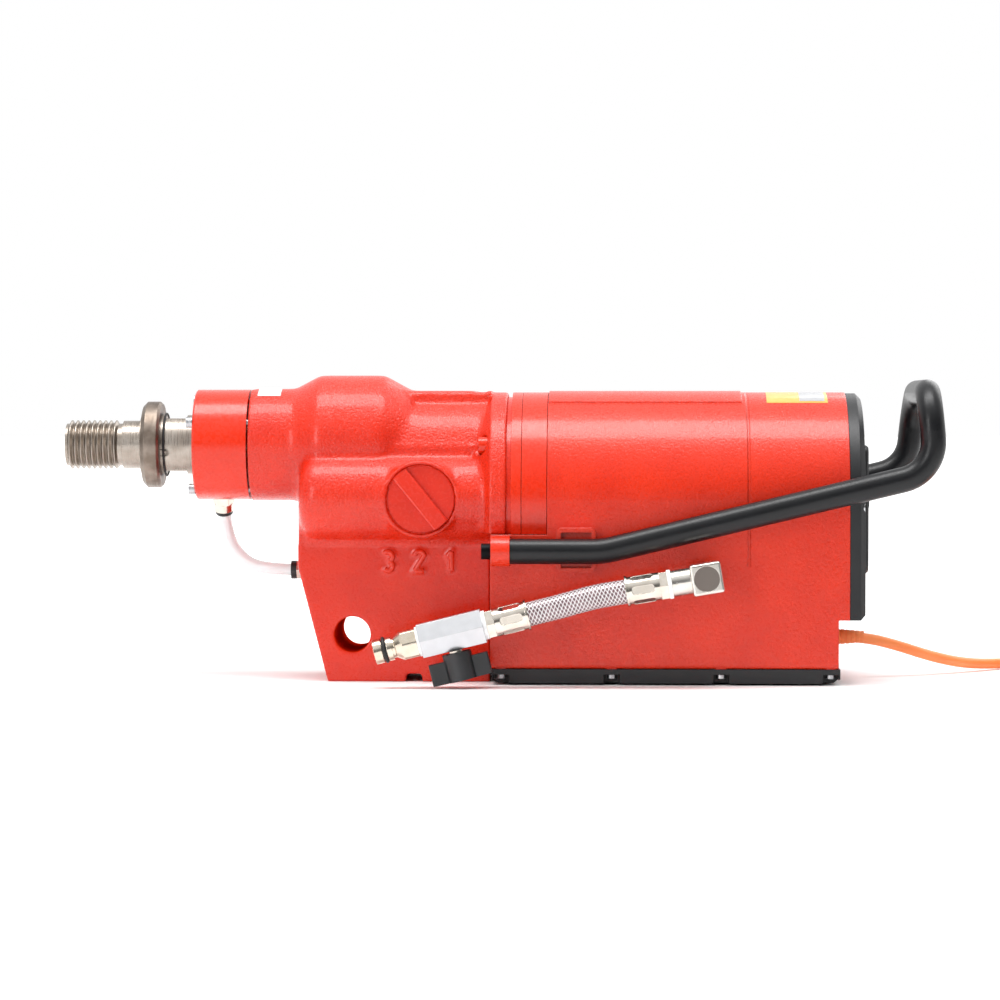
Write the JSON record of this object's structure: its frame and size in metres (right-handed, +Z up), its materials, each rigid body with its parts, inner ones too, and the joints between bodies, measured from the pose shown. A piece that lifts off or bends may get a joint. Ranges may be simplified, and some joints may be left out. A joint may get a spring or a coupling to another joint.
{
  "type": "core drill motor",
  "caption": "Water-flushed core drill motor unit: threaded spindle and water swivel, gearbox on a mounting foot with a speed selector, motor, carrying handle, ball-valve water set.",
  "frame": {"origin": "centre of the foot's four bolt holes, on its mounting face", "axes": "+Z up from the mounting face, the spindle points along -X, the speed selector and water set are on the -Y side"},
  "size_m": [0.7345, 0.2381, 0.196],
  "materials": {
    "red_cast": "textured red enamel",
    "red_smooth": "gloss red enamel",
    "steel": "turned",
    "gear_steel": "hardened, oiled",
    "nickel": "bright nickel plate",
    "zinc": "bright zinc plate",
    "black_plastic": "moulded",
    "black_coat": "black powder coat",
    "black_oxide": "black oxide",
    "rubber": "matte",
    "white_plastic": "smooth",
    "clear_tube": "translucent",
    "braid": "braided clear hose",
    "orange": "satin cord sheath",
    "copper": "enamelled wire",
    "lamination": "stacked laminations",
    "aluminium": "machined",
    "board": "circuit board"
  },
  "bodies": {
    "unit": {"water_swivel": "red_smooth", "shaft_seals": "rubber", "swivel_screws": "zinc", "gearbox_casing": "red_cast", "flange_bolts": "red_smooth", "shaft_bearings": "gear_steel", "fork_rail": "gear_steel", "bearing_plate": "red_smooth", "front_gear_ring": "red_smooth", "rear_gear_ring": "red_smooth", "planet_ring_gear": "gear_steel", "stator_core": "lamination", "field_windings": "copper", "rear_bracket": "aluminium", "brush_gear": "black_plastic", "motor_housing": "red_cast", "rear_cover": "black_plastic", "bottom_cover": "black_plastic", "cover_screws": "zinc", "switch_frame": "black_plastic", "handle": "black_coat", "handle_screws": "black_oxide", "inlet_elbow": "nickel", "sealing_washers": "white_plastic", "hose_fittings": "nickel", "braided_hose": "braid", "valve_body": "nickel", "coupling_plug": "nickel", "tube_fittings": "nickel", "water_tube": "clear_tube", "power_cord": "orange", "cord_coil": "orange", "mains_plug": "black_plastic", "cord_gland": "rubber", "control_board": "board"},
    "spindle": {"drill_spindle": "steel", "output_wheel": "gear_steel"},
    "release": {"release_ring": "steel", "release_keys": "steel", "release_o_ring": "rubber"},
    "selector": {"selector_knob": "red_smooth", "selector_crank": "gear_steel"},
    "fork": {"shift_fork": "gear_steel"},
    "input": {"input_shaft": "gear_steel", "planet_carrier": "gear_steel", "speed_gear_1": "gear_steel"},
    "collar": {"shift_collar": "gear_steel"},
    "loose_gear_2": {"speed_gear_2": "gear_steel"},
    "loose_gear_3": {"speed_gear_3": "gear_steel"},
    "lay": {"layshaft": "gear_steel", "layshaft_gears": "gear_steel"},
    "planet_1": {"planet_gear_1": "gear_steel"},
    "planet_2": {"planet_gear_2": "gear_steel"},
    "planet_3": {"planet_gear_3": "gear_steel"},
    "rotor": {"rotor_shaft": "gear_steel", "armature": "lamination", "cooling_fan": "black_plastic"},
    "rocker": {"power_switch": "black_plastic"},
    "valve": {"valve_ball": "nickel", "valve_lever": "black_plastic"}
  },
  "joints": [
    {"name": "spindle_spin", "type": "hinge", "parent": "unit", "child": "spindle", "pos_m": [0, 0, 0.151], "axis": [1, 0, 0], "continuous": true},
    {"name": "release_slide", "type": "slide", "parent": "spindle", "child": "release", "axis": [1, 0, 0], "range_m": [0, 0.0018]},
    {"name": "layshaft_spin", "type": "hinge", "parent": "unit", "child": "lay", "pos_m": [0, -0.034, 0.11712], "axis": [1, 0, 0], "continuous": true},
    {"name": "input_spin", "type": "hinge", "parent": "unit", "child": "input", "pos_m": [0, 0, 0.117], "axis": [1, 0, 0], "continuous": true},
    {"name": "loose_gear_2_spin", "type": "hinge", "parent": "unit", "child": "loose_gear_2", "pos_m": [0, 0, 0.117], "axis": [1, 0, 0], "continuous": true},
    {"name": "loose_gear_3_spin", "type": "hinge", "parent": "unit", "child": "loose_gear_3", "pos_m": [0, 0, 0.117], "axis": [1, 0, 0], "continuous": true},
    {"name": "rotor_spin", "type": "hinge", "parent": "unit", "child": "rotor", "pos_m": [0, 0, 0.117], "axis": [1, 0, 0], "continuous": true},
    {"name": "gear_selector", "type": "hinge", "parent": "unit", "child": "selector", "pos_m": [0.0086, 0, 0.117], "axis": [0, 1, 0], "range_deg": [0, 80]},
    {"name": "fork_slide", "type": "slide", "parent": "unit", "child": "fork", "axis": [1, 0, 0], "range_m": [0, 0.0161]},
    {"name": "collar_slide", "type": "slide", "parent": "input", "child": "collar", "axis": [1, 0, 0], "range_m": [0, 0.0161]},
    {"name": "rocker_tilt", "type": "hinge", "parent": "unit", "child": "rocker", "pos_m": [0.292, 0, 0.113], "axis": [0, 1, 0], "range_deg": [0, 14]},
    {"name": "valve_turn", "type": "hinge", "parent": "unit", "child": "valve", "pos_m": [0.03, -0.095, 0.0343], "axis": [0.2419, 0, -0.9703], "range_deg": [0, 90]},
    {"name": "planet_1_spin", "type": "hinge", "parent": "input", "child": "planet_1", "pos_m": [0, 0.027, 0.117], "axis": [1, 0, 0], "continuous": true},
    {"name": "planet_2_spin", "type": "hinge", "parent": "input", "child": "planet_2", "pos_m": [0, -0.0135, 0.14038], "axis": [1, 0, 0], "continuous": true},
    {"name": "planet_3_spin", "type": "hinge", "parent": "input", "child": "planet_3", "pos_m": [0, -0.0135, 0.09362], "axis": [1, 0, 0], "continuous": true}
  ],
  "couplings": [
    {"joint": "layshaft_spin", "follows": "spindle_spin", "ratio": -3.5714},
    {"joint": "input_spin", "follows": "spindle_spin", "ratio": 6.1429},
    {"joint": "loose_gear_2_spin", "follows": "spindle_spin", "ratio": 4.5238},
    {"joint": "loose_gear_3_spin", "follows": "spindle_spin", "ratio": 3.3673},
    {"joint": "rotor_spin", "follows": "spindle_spin", "ratio": 36.857},
    {"joint": "planet_1_spin", "follows": "spindle_spin", "ratio": -15.357},
    {"joint": "planet_2_spin", "follows": "spindle_spin", "ratio": -15.357},
    {"joint": "planet_3_spin", "follows": "spindle_spin", "ratio": -15.357},
    {"joint": "fork_slide", "follows": "gear_selector", "m_per_rad": 0.011459},
    {"joint": "collar_slide", "follows": "gear_selector", "m_per_rad": 0.011459}
  ]
}
